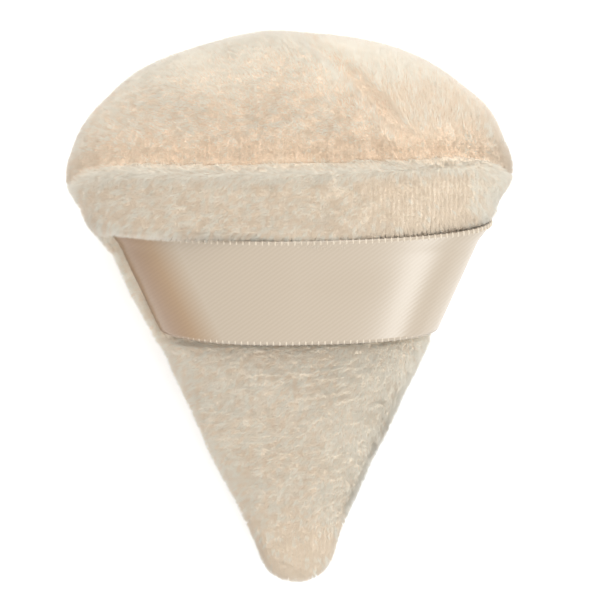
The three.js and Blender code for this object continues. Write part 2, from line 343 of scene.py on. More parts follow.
def face_reach(y):
    slope = TIP_HALF + FRONT_SLOPE * (np.clip(y, TIP_RADIUS, WAIST_LEVEL) - TIP_RADIUS)
    return np.where(y < TIP_RADIUS, TIP_HALF * round_end(y), slope)


def back_reach(y):
    slope = TIP_HALF + BACK_SLOPE * (np.clip(y, TIP_RADIUS, CORNER_LEVEL) - TIP_RADIUS)
    return np.where(y < TIP_RADIUS, TIP_HALF * round_end(y), slope)


def crush_share(y):
    """1 from the ribbon's lower edge on, where the pile is pressed flat, and 0 further down."""
    full = RIBBON_LEVEL + CRUSH_MARGIN
    return ramp(y, full - CRUSH_FADE, full)


def rim_level(x):
    return CORNER_LEVEL + RIM_BOW * (1 - np.abs(x / CORNER_HALF) ** RIM_POWER)


def bowed(x, y):
    return y + (rim_level(x) - CORNER_LEVEL) * ramp(y, WAIST_LEVEL, CORNER_LEVEL)


def evenly(line, count):
    """A line of points, again as a number of points at even distances."""
    at = distances(line)
    even = np.linspace(0, at[-1], count)
    return np.stack([np.interp(even, at, line[:, axis]) for axis in range(3)], axis=1)


def beside_ribbon(level):
    """1 at the levels where the ribbon's ends are sewn in, and 0 further off."""
    return between(level, RIBBON_ENTRY, RIBBON_EXIT)


def left_reach(level):
    """How far the left side reaches: it is drawn in a little along the ribbon's end."""
    return side_reach(level) - LEFT_DRAWN * between(level, LEFT_ENTRY, LEFT_EXIT)


def right_reach(level):
    """How far the right side reaches: there the ribbon's end lies over it."""
    return side_reach(level) - RIGHT_DRAWN * between(level, RIBBON_ENTRY, RIGHT_EXIT)


def superellipse(x, half, depth, power):
    """The height of a section at x."""
    return depth * np.clip(1 - np.abs(x / half) ** power, 0, 1) ** (1 / power)


def fan_rings():
    """Rings round the two fans, from the tip to the lip that turns in at the crown seam.

    The face is pressed in under the ribbon, up to the wall of the roll above it.
    """
    tip = TIP_RADIUS * (1 - np.cos(np.linspace(0.06, 1, 14) * math.pi / 2))
    slope = np.linspace(TIP_RADIUS, NEAR_RIBBON, 50)[1:]
    under = np.linspace(NEAR_RIBBON, ROLL_START, 40)[1:]
    swell = np.linspace(0, math.pi / 2, 14)
    front = np.linspace(ROLL_LEVEL, CORNER_LEVEL - LIP_RADIUS, 8)[1:]
    turn = np.linspace(0, LIP_TURN, 10)[1:]
    low = np.concatenate([tip, slope, under])
    roll = ROLL_LEVEL - ROLL_RADIUS * np.cos(swell) + ROW_GAP
    lip = CORNER_LEVEL - LIP_RADIUS * (1 - np.sin(turn))
    lip_inset = LIP_RADIUS * (1 - np.cos(turn))
    roll_reach = RIM_HALF - ROLL_RADIUS * (1 - np.sin(swell))
    level = np.concatenate([low, roll, front, lip])
    face = np.concatenate([face_reach(low), roll_reach, np.full(len(front), RIM_HALF), RIM_HALF - lip_inset])
    inset = np.concatenate([np.zeros(len(level) - len(turn)), lip_inset])
    press = np.concatenate([crush_share(low), np.zeros(len(level) - len(low))])
    angle = np.linspace(math.pi, 0, 181)
    rings = []
    for y, reach, drawn, crush in zip(level, face, inset, press):
        half = float(side_reach(y)) - drawn
        across = power_of(np.cos(angle), BODY_POWER)
        x = half * across
        full = reach * power_of(np.sin(angle), BODY_POWER)
        pressed_half = np.maximum(half - np.where(across < 0, PILE_CRUSH, 0), LEAST_HALF)
        pressed = superellipse(x, pressed_half, max(reach - PILE_CRUSH, LEAST_HALF), BODY_POWER)
        above = full + (pressed - full) * crush
        below = -(float(back_reach(y)) - drawn) * power_of(np.sin(angle), BODY_POWER)
        across = np.concatenate([across, across[-2:0:-1]])
        z = np.concatenate([above, below[-2:0:-1]])
        sag = roll_sag(y, z, across)
        x = across * (np.where(across < 0, left_reach(y - sag), right_reach(y - sag)) - drawn)
        rings.append(np.stack([x, bowed(x, y) - sag, z], axis=1))
    return np.array(rings)


def roll_sag(y, z, across):
    """How far the roll over the ribbon hangs lower towards its right end than at its left."""
    near_roll = between(y, ROLL_ENTRY, ROLL_EXIT)
    ends = END_SAG * (1 + across) * np.clip(END_DEPTH - np.abs(z), 0, END_DEPTH)
    return (ends - LEFT_LIFT + RIGHT_SAG * ramp(across, *SAG_SPAN)) * near_roll


def edge_rings():
    """Rings round the plush edge past the ribbon's left end."""
    angle = round_angles(32)
    rings = []
    for y in np.linspace(NEAR_RIBBON, WAIST_LEVEL + 1, 50):
        x = EDGE_HALF - float(left_reach(y)) + EDGE_HALF * np.cos(angle)
        rings.append(np.stack([x, np.full(len(x), y), EDGE_LEVEL + EDGE_HEIGHT * np.sin(angle)], axis=1))
    return np.array(rings)


def dome_ring(angle, turn, inset):
    """A ring of the dome, or of one set in from it, at a turn from its seam to its top."""
    wide, deep = power_of(math.cos(turn), DOME_POWER), power_of(math.cos(turn), DOME_DEPTH_POWER)
    rise = CROWN_RISE - RIM_BOW - SEAM_GAP - inset
    x = (CORNER_HALF - inset) * wide * power_of(np.cos(angle), CROWN_POWER)
    z = (CROWN_HALF - inset) * deep * power_of(np.sin(angle), CROWN_POWER)
    y = rim_level(x) + SEAM_GAP + rise * power_of(math.sin(turn), DOME_RISE_POWER)
    return np.stack([x, y, z], axis=1)


def crown_rings():
    """Rings round the dome, from under its seam up to its top."""
    angle = round_angles(240)
    rings = [dome_ring(angle, turn, 0) for turn in np.linspace(0, 0.99, 26) * math.pi / 2]
    tucked = [rings[0] - [0, tuck, 0] for tuck in CROWN_TUCKS]
    return np.array(tucked + rings)


def turned(points):
    """Points of the puff's own frame, tilted onto its back."""
    y, z = points[..., 1], points[..., 2]
    lying_y = y * math.cos(TILT) - z * math.sin(TILT)
    lying_z = y * math.sin(TILT) + z * math.cos(TILT)
    return np.stack([points[..., 0], lying_y, lying_z], axis=-1)


fan, crown = fan_rings(), crown_rings()
lying = np.concatenate([turned(rings).reshape(-1, 3) for rings in (fan, crown)])
TABLE_Z = (BACK_FLAT - TIP_HALF) * math.cos(TILT) + TIP_RADIUS * math.sin(TILT)
LYING_SHIFT = np.array([0, -(lying[:, 1].min() + lying[:, 1].max()) / 2, -TABLE_Z])


def placed(points):
    """Points of the puff's own frame in the row's frame, in millimetres."""
    return turned(points) + LYING_SHIFT


# Materials


def new_material(name, colour, roughness, **sockets):
    material = bpy.data.materials.new(name)
    material.use_nodes = True
    shader = material.node_tree.nodes["Principled BSDF"]
    shader.inputs["Base Color"].default_value = (*colour, 1)
    shader.inputs["Roughness"].default_value = roughness
    for socket, value in sockets.items():
        shader.inputs[socket.replace("_", " ")].default_value = value
    return material, material.node_tree, shader


def link(tree, source, output, target, socket):
    tree.links.new(source.outputs[output], target.inputs[socket])


def object_place(tree):
    return tree.nodes.new("ShaderNodeTexCoord")


def noise(tree, place, scale, detail):
    node = tree.nodes.new("ShaderNodeTexNoise")
    node.inputs["Scale"].default_value = scale
    node.inputs["Detail"].default_value = detail
    link(tree, place, "Object", node, "Vector")
    return node


def colours(tree, source, output, stops):
    node = tree.nodes.new("ShaderNodeValToRGB")
    elements = node.color_ramp.elements
    for element, (position, colour) in zip(elements, (stops[0], stops[-1])):
        element.position = position
        element.color = (*colour, 1)
    for position, colour in stops[1:-1]:
        elements.new(position).color = (*colour, 1)
    link(tree, source, output, node, "Fac")
    return node


def bumped(tree, source, output, shader, strength, distance):
    node = tree.nodes.new("ShaderNodeBump")
    node.inputs["Strength"].default_value = strength
    node.inputs["Distance"].default_value = distance
    link(tree, source, output, node, "Height")
    link(tree, node, "Normal", shader, "Normal")


def skin_material(name, dark, light):
    material, tree, shader = new_material(name, dark, roughness=0.95, Sheen_Weight=0.5)
    place = object_place(tree)
    blotches = noise(tree, place, scale=260, detail=3)
    shades = colours(tree, blotches, "Fac", ((0.3, dark), (0.7, light)))
    link(tree, shades, "Color", shader, "Base Color")
    fibres = noise(tree, place, scale=2600, detail=4)
    bumped(tree, fibres, "Fac", shader, strength=0.6, distance=0.0004)
    return material


def pile_material(name, colour):
    sockets = {"Specular_IOR_Level": 0.2, "Sheen_Weight": 0.35, "Sheen_Roughness": 0.5}
    return new_material(name, colour, roughness=0.9, **sockets)[0]


def satin_material():
    """Satin with slanting ribs, and painted shade that browns its left end, where it turns down out of the
    light.
    """
    painted_shade_offset = 1.74
    per_centimetre = (100, 100, 100)
    sockets = {"Specular_IOR_Level": 0.9, "Sheen_Weight": 0.1, "Anisotropic": 0.4}
    material, tree, shader = new_material("satin", (0.44, 0.36, 0.27), roughness=0.32, **sockets)
    place = object_place(tree)
    slant = tree.nodes.new("ShaderNodeMapping")
    slant.inputs["Rotation"].default_value = (0, 0, math.radians(55))
    link(tree, place, "Object", slant, "Vector")
    ribs = tree.nodes.new("ShaderNodeTexWave")
    ribs.bands_direction = "X"
    ribs.inputs["Scale"].default_value = 640
    ribs.inputs["Distortion"].default_value = 1.2
    ribs.inputs["Detail Scale"].default_value = 2
    link(tree, slant, "Vector", ribs, "Vector")
    shades = colours(tree, ribs, "Fac", ((0.0, (0.43, 0.35, 0.26)), (1.0, (0.46, 0.38, 0.29))))
    # Painted shade: the satin's colour is multiplied towards brown over the ribbon's left end, for the shade
    # where it turns down.
    side = tree.nodes.new("ShaderNodeMapping")
    side.inputs["Rotation"].default_value = (0, 0, -math.atan(SIDE_SLOPE))
    side.inputs["Scale"].default_value = per_centimetre
    link(tree, place, "Object", side, "Vector")
    split = tree.nodes.new("ShaderNodeSeparateXYZ")
    link(tree, side, "Vector", split, "Vector")
    offset = tree.nodes.new("ShaderNodeMath")
    offset.operation = "ADD"
    offset.inputs[1].default_value = painted_shade_offset
    link(tree, split, "X", offset, 0)
    stops = ((0.1, (0.6, 0.42, 0.27)), (0.35, (0.78, 0.61, 0.44)), (0.7, (1, 1, 1)))
    painted_left_shade = colours(tree, offset, "Value", stops)
    mix = tree.nodes.new("ShaderNodeMixRGB")
    mix.blend_type = "MULTIPLY"
    mix.inputs["Fac"].default_value = 1
    link(tree, shades, "Color", mix, "Color1")
    link(tree, painted_left_shade, "Color", mix, "Color2")
    link(tree, mix, "Color", shader, "Base Color")
    bumped(tree, ribs, "Fac", shader, strength=0.1, distance=0.00005)
    return material


def thread_material(name, colour):
    material, tree, shader = new_material(name, colour, roughness=0.6, Sheen_Weight=0.2)
    twist = tree.nodes.new("ShaderNodeTexWave")
    twist.bands_direction = "DIAGONAL"
    twist.inputs["Scale"].default_value = 900
    link(tree, object_place(tree), "Object", twist, "Vector")
    bumped(tree, twist, "Fac", shader, strength=0.4, distance=0.0001)
    return material


def foam_material():
    material, tree, shader = new_material("foam", (0.86, 0.8, 0.68), roughness=1)
    pores = tree.nodes.new("ShaderNodeTexVoronoi")
    pores.inputs["Scale"].default_value = 1500
    link(tree, object_place(tree), "Object", pores, "Vector")
    shades = colours(tree, pores, "Distance", ((0.1, (0.62, 0.55, 0.43)), (0.5, (0.88, 0.82, 0.7))))
    link(tree, shades, "Color", shader, "Base Color")
    bumped(tree, pores, "Distance", shader, strength=0.8, distance=0.0004)
    return material


# The backings are the cloth under the pile and also paint shade: they are a warmer orange than the pile, the
# dome's most, so that where they show between the fibres they give warm shade.
FAN_SKIN = skin_material("fan_backing", (0.88, 0.73, 0.57), (0.90, 0.78, 0.63))
CROWN_SKIN = skin_material("crown_backing", (0.90, 0.68, 0.50), (0.92, 0.74, 0.57))
# Pile shades: each tuft takes one at random for an uneven tone, with shares set by place, so that the warmer
# shades also paint shade and the pale one paints light.
PILE_SHADES = [
    ("pale", pile_material("pile_pale", (0.955, 0.88, 0.745))),
    ("beige", pile_material("pile_beige", (0.935, 0.825, 0.675))),
    ("peach", pile_material("pile_peach", (0.92, 0.77, 0.6))),
]
SATIN = satin_material()
SELVEDGE = thread_material("selvedge", (0.66, 0.57, 0.45))
THREAD = thread_material("thread", (0.72, 0.58, 0.42))
FOAM = foam_material()


# Meshes


def new_object(name, points, faces, materials, scale=MM):
    """An object of points in the row's frame, in millimetres, with faces of one size."""
    mesh = bpy.data.meshes.new(name)
    count, sides = faces.shape
    mesh.vertices.add(len(points))
    mesh.vertices.foreach_set("co", (points * scale).astype(np.float32).ravel())
    mesh.loops.add(count * sides)
    mesh.loops.foreach_set("vertex_index", faces.astype(np.int32).ravel())
    mesh.polygons.add(count)
    mesh.polygons.foreach_set("loop_start", np.arange(0, count * sides, sides, dtype=np.int32))
    mesh.polygons.foreach_set("use_smooth", np.ones(count, bool))
    for material in materials:
        mesh.materials.append(material)
    mesh.update(calc_edges=True)
    mesh.validate()
    piece = bpy.data.objects.new(name, mesh)
    bpy.context.scene.collection.objects.link(piece)
    return piece


def grid_faces(rows, columns):
    corner = np.arange(rows * columns).reshape(rows, columns)
    order = [corner[1:, :-1], corner[1:, 1:], corner[:-1, 1:], corner[:-1, :-1]]
    return np.stack([part.ravel() for part in order], axis=1)


def solid_sheet(piece, thickness, offset):
    """Gives a grid of faces a thickness, closed all round."""
    solid = piece.modifiers.new("thickness", "SOLIDIFY")
    solid.thickness = thickness * MM
    solid.offset = offset
    solid.use_even_offset = False


def skin(name, panel, material):
    """A panel's backing under its pile, as a closed shell."""
    used, faces = np.unique(panel.faces, return_inverse=True)
    points = placed(panel.points - panel.normals * panel.depth[:, None])[used]
    piece = new_object(name, points, faces.reshape(panel.faces.shape), [material])
    solid_sheet(piece, SKIN_THICKNESS, -1)
    return piece


def pile(name, panel, nap, seed, density, uphill):
    """Fibres in tufts on the knit's wales, each a thin spike that leans with the nap.

    The fibres of a wale gather over its middle.
    """
    rng = np.random.default_rng(seed)
    root, normal, deep = panel.scatter(rng, density)
    count = len(root)
    ahead = unit(np.cross(normal, [1.0, 0, 0]) if uphill else [0, 1.0, 0] - normal * normal[:, 1:2])
    side = np.cross(ahead, normal)
    wale = np.floor(root[:, 0] / WALE_PITCH)
    course = np.floor((root[:, 1] - root[:, 2]) / COURSE_PITCH)
    tuft = ((wale * 7919 + course * 104729) % TUFTS).astype(int)
    off_wale = (root[:, 0] / WALE_PITCH - wale - 0.5) * WALE_PITCH * np.abs(side[:, 0])
    pick = rng.uniform(0, 1, TUFTS)
    turn = rng.normal(0, TUFT_TURN, TUFTS)
    stand = rng.normal(1, TUFT_STAND, TUFTS)

    direction, lean, height, gather, painted_light_and_shade, droop = nap(root, normal, placed(root))
    angle = direction + turn[tuft] + rng.normal(0, FIBRE_TURN, count)
    height = deep * height * stand[tuft] * rng.normal(1, FIBRE_STAND, count)
    lean = np.clip(lean + rng.normal(0, FIBRE_LEAN, count), LEAST_LEAN, MOST_LEAN)
    # Painted light and shade: where painted_light_and_shade is high, tufts take the warmer, darker shades,
    # and where it is low, the pale shade.
    not_pale = BEIGE_SHARE + (1 - BEIGE_SHARE) * painted_light_and_shade
    shade = (pick[tuft] < painted_light_and_shade).astype(int) + (pick[tuft] < not_pale)
    flow = side * np.cos(angle)[:, None] + ahead * np.sin(angle)[:, None]
    base = root - normal * (deep + PILE_ROOT)[:, None]
    tip = root + normal * (height - deep)[:, None] + flow * (height * np.tan(lean))[:, None]
    tip = tip - side * (np.sign(side[:, 0]) * off_wale * gather)[:, None]
    tip[:, 1] -= droop
    tip = placed(tip)
    tip[:, 2] = np.maximum(tip[:, 2], TABLE_GAP)
    spin = rng.uniform(0, 2 * math.pi, count)
    pieces = []
    for index, (shade_name, material) in enumerate(PILE_SHADES):
        own = shade == index
        piece = spikes(f"{name}_{shade_name}", placed(base)[own], tip[own], spin[own], material)
        soft_shading(piece, turned(normal)[own])
        pieces.append(piece)
    return pieces


def spikes(name, base, tip, spin, material):
    """Three-sided spikes from base points to tips."""
    axis = unit(tip - base)
    helper = np.where(np.abs(axis[:, 2:]) < 0.9, [[0, 0, 1.0]], [[1.0, 0, 0]])
    first = unit(np.cross(axis, helper))
    second = np.cross(axis, first)
    ring = []
    for corner in range(3):
        angle = spin + corner * 2 * math.pi / 3
        offset = first * np.cos(angle)[:, None] + second * np.sin(angle)[:, None]
        ring.append(base + offset * FIBRE_RADIUS)
    points = np.stack([*ring, tip], axis=1).reshape(-1, 3)
    start = np.arange(len(base))[:, None] * 4
    faces = np.stack([start + [0, 1, 3], start + [1, 2, 3], start + [2, 0, 3]], axis=1).reshape(-1, 3)
    return new_object(name, points, faces, [material])


def soft_shading(piece, normals):
    """Shades each fibre much as the cloth under it, as light that scatters from fibre to fibre does."""
    mesh = piece.data
    own = np.zeros(len(mesh.vertices) * 3, np.float32)
    mesh.vertices.foreach_get("normal", own)
    blended = unit(own.reshape(-1, 3) * OWN_SHADING + np.repeat(normals, 4, axis=0))
    mesh.normals_split_custom_set_from_vertices(blended.tolist())


# The panels: the plush fan with the ribbon across it, the fan behind it, and the dome


def streaks(root, seed):
    """Clumps of pile, longer across the puff than along it."""
    return waves(root * [CLUMP_SHARE, 1, 1], CLUMP_PITCH, seed)


class Panel:
    """A part of the stuffed body's surface, with how deep its pile is rooted at each point."""

    def __init__(self, points, normals, depth, faces):
        self.points, self.normals, self.depth, self.faces = points, normals, depth, faces

    def scatter(self, rng, density):
        """Even random places on the panel: points, normals and depths."""
        corners = np.concatenate([self.faces[:, [0, 1, 2]], self.faces[:, [0, 2, 3]]])
        a, b, c = (self.points[corners[:, k]] for k in range(3))
        edge = np.cumsum(np.linalg.norm(np.cross(b - a, c - a), axis=1) / 2)
        count = int(edge[-1] * density)
        chosen = corners[np.minimum(np.searchsorted(edge, rng.uniform(0, edge[-1], count)), len(edge) - 1)]
        root, first = np.sqrt(rng.uniform(0, 1, count)), rng.uniform(0, 1, count)
        weights = np.stack([1 - root, root * (1 - first), root * first], axis=1)[..., None]
        place = (self.points[chosen] * weights).sum(axis=1)
        normal = unit((self.normals[chosen] * weights).sum(axis=1))
        return place, normal, (self.depth[chosen] * weights[..., 0]).sum(axis=1)


def joined_body():
    """The fans, the dome and the plush edge as one skin of four-sided faces, in the puff's own frame."""
    source = tube("body", [fan, crown, edge_rings()], [], 1)
    remesh = source.modifiers.new("joined", "REMESH")
    remesh.mode = "VOXEL"
    remesh.voxel_size = GRID
    bpy.context.view_layer.update()
    found = source.evaluated_get(bpy.context.evaluated_depsgraph_get()).to_mesh()
    points = np.zeros(len(found.vertices) * 3, np.float32)
    found.vertices.foreach_get("co", points)
    corners = np.zeros(len(found.loops), np.int32)
    found.loops.foreach_get("vertex_index", corners)
    points, faces = points.reshape(-1, 3).astype(float), corners.reshape(-1, 4)
    mesh = source.data
    bpy.data.objects.remove(source)
    bpy.data.meshes.remove(mesh)
    return points, faces


def evened(points, faces, rounds):
    """Rounds off the grid's steps and what no stuffed cloth keeps sharp."""
    around = np.concatenate([faces, np.roll(faces, 1, axis=1)]).ravel()
    beside = np.concatenate([np.roll(faces, 1, axis=1), faces]).ravel()
    count = np.bincount(around, minlength=len(points))[:, None]
    for _ in range(rounds):
        total = np.stack([np.bincount(around, points[beside, k], len(points)) for k in range(3)], axis=1)
        points = points + 0.5 * (total / count - points)
    return points


def normals_of(points, faces):
    a, b, c, d = (points[faces[:, k]] for k in range(4))
    facing = np.cross(c - a, d - b)
    total = np.zeros(points.shape)
    for k in range(4):
        for axis in range(3):
            total[:, axis] += np.bincount(faces[:, k], facing[:, axis], len(points))
    outward = np.sign((total * (points - points.mean(axis=0))).sum())
    return unit(total) * outward, outward


def under_ribbon(points):
    """1 where the pile is pressed flat under the ribbon."""
    x, y, z = points.T
    from_left = x + left_reach(y)
    inner_start = EDGE_REACH - EDGE_OVERLAP
    inner = ramp(from_left, inner_start, inner_start + EDGE_FADE)
    top = ROLL_START - roll_sag(ROLL_START, z, x / side_reach(y))
    return crush_share(y) * (1 - ramp(y, top - PRESSED_FADE, top)) * inner * ramp(z, *PRESSED_FACE)


def on_plush_edge(x, y):
    """1 on the plush edge past the ribbon's left end."""
    from_left = x + left_reach(y)
    return beside_ribbon(y) * (1 - ramp(from_left, EDGE_REACH, EDGE_REACH + EDGE_FADE))


def past_finger_mark(place):
    """How far a point lies to the right of the line that a finger has left in the dome's pile."""
    up = np.clip((place[..., 1] - MARK_FOOT_Y) / MARK_RUN_Y, 0, MARK_REACH)
    return place[..., 0] - (MARK_FOOT_X - MARK_RUN_X * up**MARK_BEND)


def stuffed(points, normals):
    """The joined body's points, moved to show seams, ridge and valley, finger mark and swells."""
    x, y, z = points.T
    over_rim = y - rim_level(x)
    pressed = under_ribbon(points)
    on_fan = 1 - ramp(over_rim, *FAN_END)
    seam = -SEAM_DEPTH * hump(z, 0, SEAM_HALF) * on_fan * (1 - beside_ribbon(y))
    ridge = RIDGE_HEIGHT * hump(over_rim, RIDGE_LEVEL, RIDGE_HALF)
    ridge = ridge - GROOVE_DEPTH * hump(over_rim, GROOVE_LEVEL, GROOVE_HALF)
    ridge = ridge * (z > 0) * (1 - ramp(np.abs(x), *RIDGE_END))
    past = past_finger_mark(placed(points))
    on_dome = ramp(over_rim, *DOME_START) * ramp(normals[:, 2], -0.3, 0.2)
    mark = MARK_DEPTH * hump(past, MARK_SHIFT, MARK_HALF) + BRUSHED_DEPTH * ramp(past, *BRUSHED_SPAN)
    mark = mark * on_dome
    standing = STANDING_HEIGHT * ramp(-past, *STANDING_SPAN) * ramp(over_rim, *STANDING_START) * on_dome
    swell = SWELL_HEIGHT * waves(points, SWELL_PITCH, 3) * (1 - pressed)
    over_ribbon = ramp(-normals[:, 1], 0, 0.5) * between(y, ROLL_FOOT, ROLL_TOP) * (z > 0)
    on_face = ramp(np.abs(normals[:, 2]), 0.4, 0.9) * (1 - ramp(y, *FACE_END))
    spread = PILE_SPREAD * (1 - pressed) * (1 - over_ribbon) * (1 - on_face)
    at_corner = ramp(np.abs(x), *CORNER_START) * between(y, CORNER_ENTRY, CORNER_EXIT)
    full = CORNER_FULLNESS * at_corner + TIP_FULLNESS * (1 - ramp(y, *TIP_END))
    in_valley = between(over_rim, VALLEY_START, VALLEY_END) * ramp(z, *VALLEY_FACE)
    points = points + normals * [1, 1, 0] * full[:, None]
    points[:, 2] += VALLEY_FILL * in_valley
    points = points + normals * (seam + ridge + standing + swell - mark - spread)[:, None]
    sunk = np.maximum(TABLE_GAP - placed(points)[:, 2], 0)
    return points + np.array([0, 0, 1.0]) * sunk[:, None] / math.cos(TILT)


def stuffed_panels():
    """The front, the back and the dome of the stuffed body."""
    body, faces = joined_body()
    body = evened(body, faces, EVEN_ROUNDS)
    points = stuffed(body, normals_of(body, faces)[0])
    normals, outward = normals_of(points, faces)
    if outward < 0:
        faces = faces[:, ::-1]
    depth = PILE_SHOWN + (PILE_PRESSED - PILE_SHOWN) * under_ribbon(body)
    depth = depth - EDGE_PILE_LOSS * on_plush_edge(body[:, 0], body[:, 1])
    middle = points[faces].mean(axis=1)
    on_crown = middle[:, 1] > rim_level(middle[:, 0]) + CROWN_START
    parts = (~on_crown & (middle[:, 2] > 0), ~on_crown & (middle[:, 2] <= 0), on_crown)
    return [Panel(points, normals, depth, faces[part]) for part in parts]


def front_nap(root, normal, place):
    """The nap of the ribbon's fan: to the left, but down on the right, at the tip and at the roll's ends."""
    x, y = root[:, 0], root[:, 1]
    over_rim = y - rim_level(x)
    on_crest = ramp(over_rim, *CREST_START) * (1 - ramp(x, *CREST_END))
    to_right = ramp(x + NAP_TURN_SLANT * (y - NAP_TURN_LEVEL), *NAP_TURN_START) * (1 - on_crest)
    at_tip = 1 - ramp(y, *NAP_TIP_END)
    low_on_roll = between(y, ROLL_FOOT, HANGING_TOP) * (1 - under_ribbon(root))
    over_ribbon = ramp(-normal[:, 1], -0.1, 0.4) * low_on_roll
    at_end = ramp(np.abs(x) / side_reach(y), 0.75, 0.95) * low_on_roll * ramp(y, *ROLL_ENDS)
    down = np.clip(to_right + at_tip + at_end, 0, 1)
    direction = FRONT_NAP * (1 - down) + NAP_DOWN * down
    direction = direction + (0.25 * waves(root, 9, 11) + 0.25 * streaks(root, 17)) * (1 - 0.6 * down)
    lean = NAP_LEAN + CLUMP_LEAN * streaks(root, 12) * (1 - 0.6 * down) - 0.15 * down
    on_ridge = hump(over_rim, CREST_LEVEL, CREST_HALF)
    on_strip = ramp(y, *STRIP_START)
    at_corner = ramp(x, *LIT_CORNER) * on_strip
    lit_fan_right = ramp(x / side_reach(y), 0.2, 0.7) * (1 - on_strip) * (1 - at_tip)
    # Painted shade and light: warmer, darker shades on the strip, on its right and at the tip, and the pale
    # shade on the fan's right side, the ridge and the right corner.
    painted_light_and_shade = 0.2 + 0.25 * on_strip + 0.45 * to_right * on_strip + 0.6 * at_tip - 0.7 * lit_fan_right
    painted_light_and_shade = painted_light_and_shade - 1.2 * np.maximum(on_ridge, at_corner)
    hanging = 0.2 + 0.8 * ramp(x, *HANGING_START) * (1 - 0.8 * ramp(x, *CREST_END))
    droop = hanging * over_ribbon
    height = 1 + 0.1 * over_ribbon + 0.7 * on_plush_edge(x, y)
    gather = 0.2 + 0.6 * down * (1 - on_ridge) * (1 - over_ribbon) * ramp(y, *GATHER_START)
    return direction, lean + 0.2 * on_ridge, height, gather, painted_light_and_shade, droop


def back_nap(root, normal, place):
    """The nap of the fan behind: down towards the tip, and flattened where it lies on the table."""
    direction = NAP_DOWN + 0.4 * waves(root, 10, 13) + 0.3 * streaks(root, 18)
    lean = NAP_LEAN + CLUMP_LEAN * streaks(root, 14)
    height = 1 - 0.6 * (1 - ramp(place[:, 2], *FLATTENED_END))
    return direction, lean, height, np.full(len(root), 0.3), np.full(len(root), 0.2), np.zeros(len(root))


def crown_nap(root, normal, place):
    """The nap of the dome: to the left, but brushed up on the right of the finger mark."""
    over_rim = root[:, 1] - rim_level(root[:, 0])
    in_valley = 1 - ramp(over_rim, *SHADED_VALLEY_END)
    past = past_finger_mark(place)
    on_face = ramp(normal[:, 2], -0.3, 0.1) * (1 - in_valley)
    past_mark = ramp(past, *BRUSHED_START) * on_face
    direction = CROWN_NAP + 0.25 * waves(root, 9, 15) + 0.25 * streaks(root, 19)
    direction = direction * (1 - past_mark) + BRUSHED_NAP * past_mark
    lean = (NAP_LEAN + CLUMP_LEAN * streaks(root, 16)) * (1 - 0.5 * in_valley)
    lean = lean * (1 - past_mark) + BRUSHED_LEAN * past_mark
    lit_top = ramp(over_rim, *LIT_TOP)
    shaded_mark = hump(past, 0, SHADED_MARK_HALF) * on_face
    # Painted shade and light: warmer, darker shades in the valley, past the finger mark and along it, and the
    # pale shade on the dome's top.
    painted_light_and_shade = 0.25 + 0.6 * in_valley + 0.35 * past_mark + 0.6 * shaded_mark - 0.8 * lit_top
    return direction, lean, np.ones(len(root)), 0.2 + 0.25 * in_valley, painted_light_and_shade, np.zeros(len(root))


# The ribbon


def ribbon_half(half, height, power):
    """Half of the ribbon's line: its tab under the seam, the fold, and the arch up to the middle."""
    turn = np.linspace(0, math.pi / 2, 8)[:-1]
    fold = np.stack([half - RIBBON_FOLD * (1 - np.sin(turn)), RIBBON_FOLD * (1 - np.cos(turn))], axis=1)
    first = math.asin((RIBBON_FOLD / height) ** (power / 2))
    angle = np.linspace(first, math.pi / 2, 120)
    arch = np.stack([half * power_of(np.cos(angle), power), height * power_of(np.sin(angle), power)], axis=1)
    return np.concatenate([[[half - RIBBON_TAB, 0]], fold, arch])


def ribbon_line(y, count):
    """The ribbon's line at a level y, from the right seam over the face to the left seam."""
    right_half = float(right_reach(y)) + RIBBON_CLEARANCE
    left_half = float(left_reach(y)) - PILE_CRUSH + RIBBON_CLEARANCE
    share = (y - RIBBON_LEVEL) / RIBBON_WIDTH
    height = float(face_reach(y)) + RIBBON_SLACK + (RIBBON_TOP_SLACK - RIBBON_SLACK) * share
    power = RIBBON_POWER + (RIBBON_TOP_POWER - RIBBON_POWER) * share
    right = ribbon_half(right_half, height, power)
    left = ribbon_half(left_half, height, power - LEFT_END_ROUNDING)[::-1] * [-1, 1]
    line = np.concatenate([right, left[1:]])
    return evenly(np.stack([line[:, 0], np.full(len(line), y), line[:, 1]], axis=1), count)


def ribbon():
    levels = np.linspace(RIBBON_LEVEL, WAIST_LEVEL, 31)
    grid = np.array([ribbon_line(y, 201) for y in levels])
    rows, columns = grid.shape[:2]
    piece = new_object("ribbon", placed(grid).reshape(-1, 3), grid_faces(rows, columns), [SATIN])
    solid_sheet(piece, RIBBON_THICKNESS, 0)
    return piece, grid


def ribbon_edge(name, line, inward):
    """A row of small woven loops along one edge of the ribbon."""
    at = distances(line)
    places = np.arange(LOOP_MARGIN, at[-1] - LOOP_MARGIN, LOOP_PITCH)
    index = np.interp(places, at, np.arange(len(at)))

    def pick(field):
        low = index.astype(int)
        part = (index - low)[:, None]
        return field[low] * (1 - part) + field[low + 1] * part

    centre, along = pick(line), unit(pick(np.gradient(line, axis=0)))
    out = np.cross([0, 1.0, 0], along)
    wide = np.array([[0.0, inward, 0.0]]) * np.ones((len(places), 1))
    centre = centre + wide * LOOP_INSET
    turn = round_angles(8)
    tilt = np.linspace(-0.5, 0.5, 7)[1:-1] * math.pi
    points, faces = [], []
    for c, a, o, w in zip(centre, along, out, wide):
        start = len(points)
        points.append(c - w * LOOP_LENGTH)
        for t in tilt:
            ring = np.outer(np.cos(turn), a) * LOOP_WIDTH + np.outer(np.sin(turn), o) * LOOP_HEIGHT
            points.extend(c + w * LOOP_LENGTH * np.sin(t) + np.cos(t) * ring)
        points.append(c + w * LOOP_LENGTH)
        faces.extend(bead_faces(start, len(tilt), len(turn)))
    return new_object(name, placed(np.array(points)), np.array(faces), [SELVEDGE])


